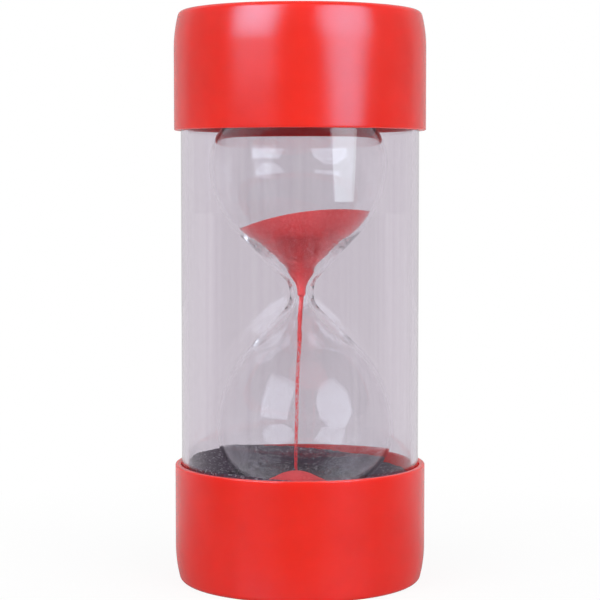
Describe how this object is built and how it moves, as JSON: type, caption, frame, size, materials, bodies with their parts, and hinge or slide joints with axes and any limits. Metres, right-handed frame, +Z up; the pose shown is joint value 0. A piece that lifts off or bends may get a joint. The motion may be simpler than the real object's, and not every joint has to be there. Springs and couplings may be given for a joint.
{
  "type": "sand timer",
  "caption": "Sand timer with a two-bulb glass held between foam cushions in a clear barrel, closed by red end caps, with red sand running through the neck.",
  "frame": {"origin": "centre of the bottom cap's end face, on the surface that the timer stands on", "axes": "+Z up along the barrel's axis, -Y towards the viewer, +X to the viewer's right"},
  "size_m": [0.075, 0.075, 0.17],
  "materials": {
    "cap_plastic": "moulded red plastic with a soft gloss",
    "barrel_clear": "clear plastic tube with a faint grey violet tint",
    "bulb_glass": "clear blown glass",
    "foam": "dark grey open-cell foam",
    "sand": "dyed red grains, matt"
  },
  "bodies": {
    "root": {"top_cap": "cap_plastic", "bottom_cap": "cap_plastic", "barrel": "barrel_clear", "sand_glass": "bulb_glass", "upper_foam": "foam", "lower_foam": "foam", "upper_sand": "sand", "sand_stream": "sand", "lower_sand": "sand"}
  },
  "joints": []
}
